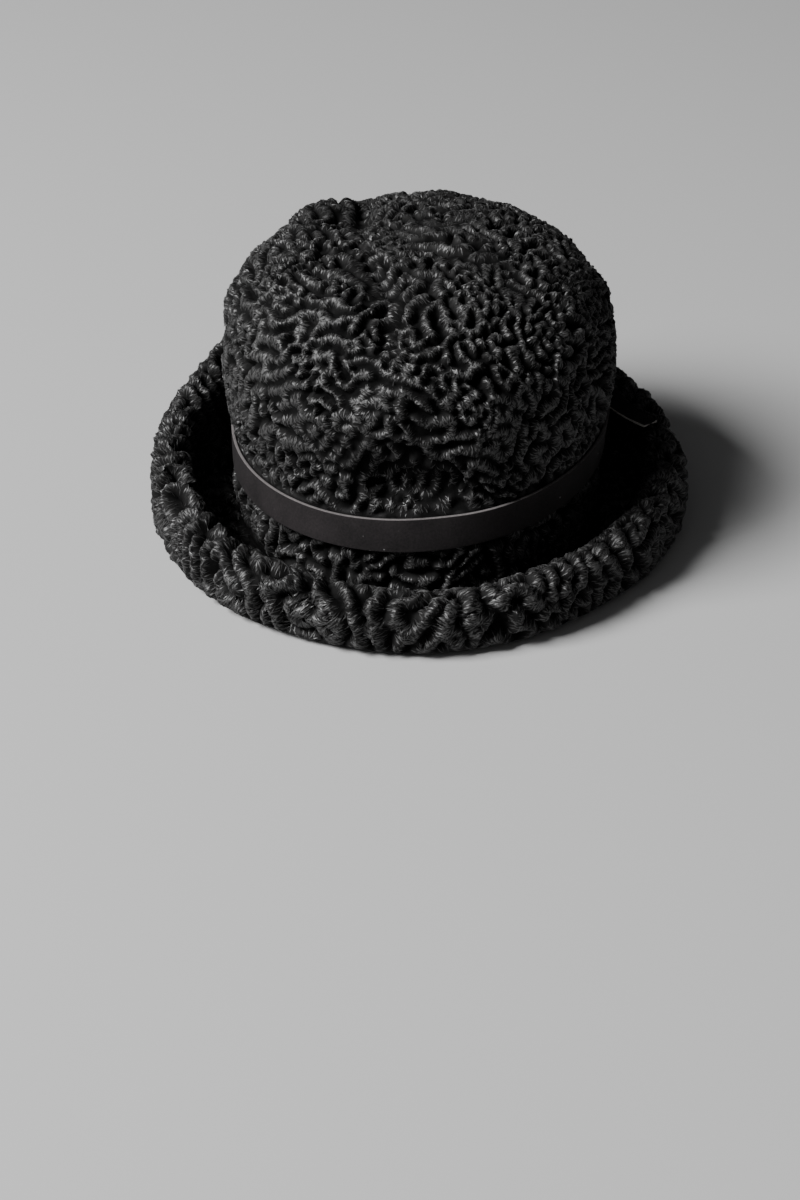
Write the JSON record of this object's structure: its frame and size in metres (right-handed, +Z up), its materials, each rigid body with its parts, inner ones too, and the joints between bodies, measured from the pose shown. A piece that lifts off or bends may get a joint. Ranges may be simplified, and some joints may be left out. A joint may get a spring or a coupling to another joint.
{
  "type": "karakul fur hat with rolled brim",
  "caption": "Black curled-lamb fur hat with a domed, creased crown, a padded brim rolled up all round and a narrow dark band whose free end lies across the gutter at one side.",
  "frame": {"origin": "middle of the hat's outline, on the surface that the brim rests on", "axes": "+Z up through the crown, -Y to the front, +X to the wearer's left"},
  "size_m": [0.2718, 0.282, 0.1536],
  "materials": {
    "fur": "black curled lamb fur, glossy on the curls and matt in the gaps",
    "band": "black suede with a paler cut edge"
  },
  "bodies": {
    "root": {"crown": "fur", "brim": "fur", "band": "band", "band_tail": "band"}
  },
  "joints": []
}
